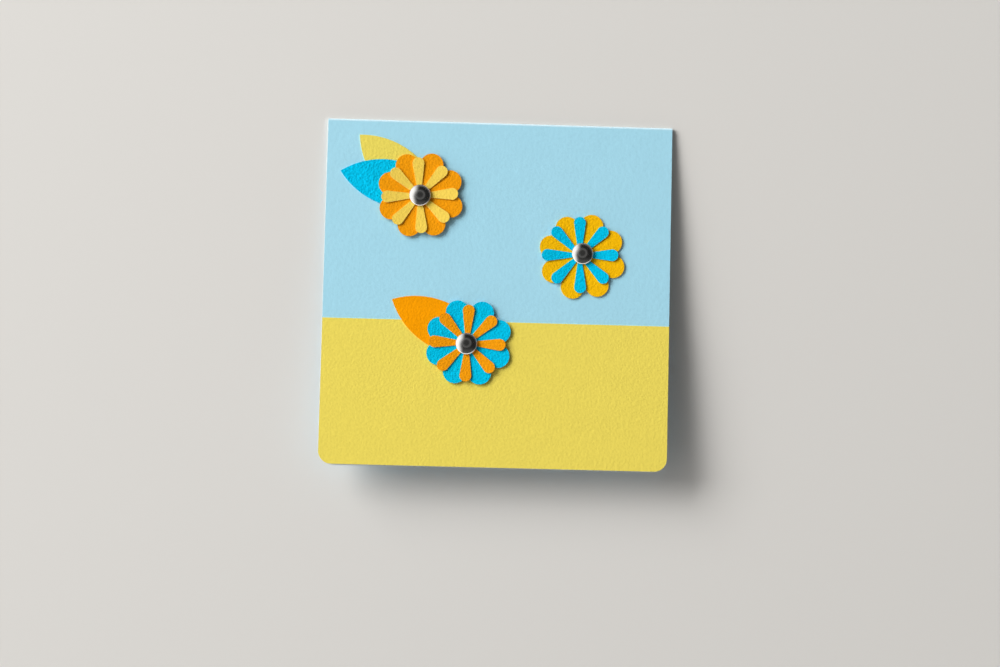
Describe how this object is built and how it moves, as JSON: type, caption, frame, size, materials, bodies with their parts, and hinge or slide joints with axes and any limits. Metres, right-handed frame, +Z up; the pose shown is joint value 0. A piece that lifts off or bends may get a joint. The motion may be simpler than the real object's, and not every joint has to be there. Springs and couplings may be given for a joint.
{
  "type": "greeting card",
  "caption": "Square light-blue greeting card, folded at the top, with a yellow lower panel, paper leaves and layered paper flowers held by domed split pins.",
  "frame": {"origin": "middle of the card's underside, on the surface that it lies on", "axes": "+X across the front to its right, +Y towards the fold, +Z up, away from the surface"},
  "size_m": [0.135, 0.135, 0.0109],
  "materials": {
    "card_blue": "matte, light grain",
    "panel_yellow": "matte, pebbled",
    "leaf_yellow": "matte, pebbled",
    "leaf_blue": "matte, pebbled",
    "leaf_orange": "matte, smooth",
    "flower_orange": "matte, smooth",
    "flower_golden": "matte, smooth",
    "flower_blue": "matte, smooth",
    "flower_pale_yellow": "matte, smooth",
    "split_pin_metal": "polished"
  },
  "bodies": {
    "root": {"folded_card": "card_blue", "lower_panel": "panel_yellow", "upper_yellow_leaf": "leaf_yellow", "upper_blue_leaf": "leaf_blue", "lower_orange_leaf": "leaf_orange", "upper_flower_base": "flower_orange", "upper_flower_petals": "flower_pale_yellow", "upper_split_pin": "split_pin_metal", "right_flower_base": "flower_golden", "right_flower_petals": "flower_blue", "right_split_pin": "split_pin_metal", "lower_flower_base": "flower_blue", "lower_flower_petals": "flower_orange", "lower_split_pin": "split_pin_metal"}
  },
  "joints": []
}
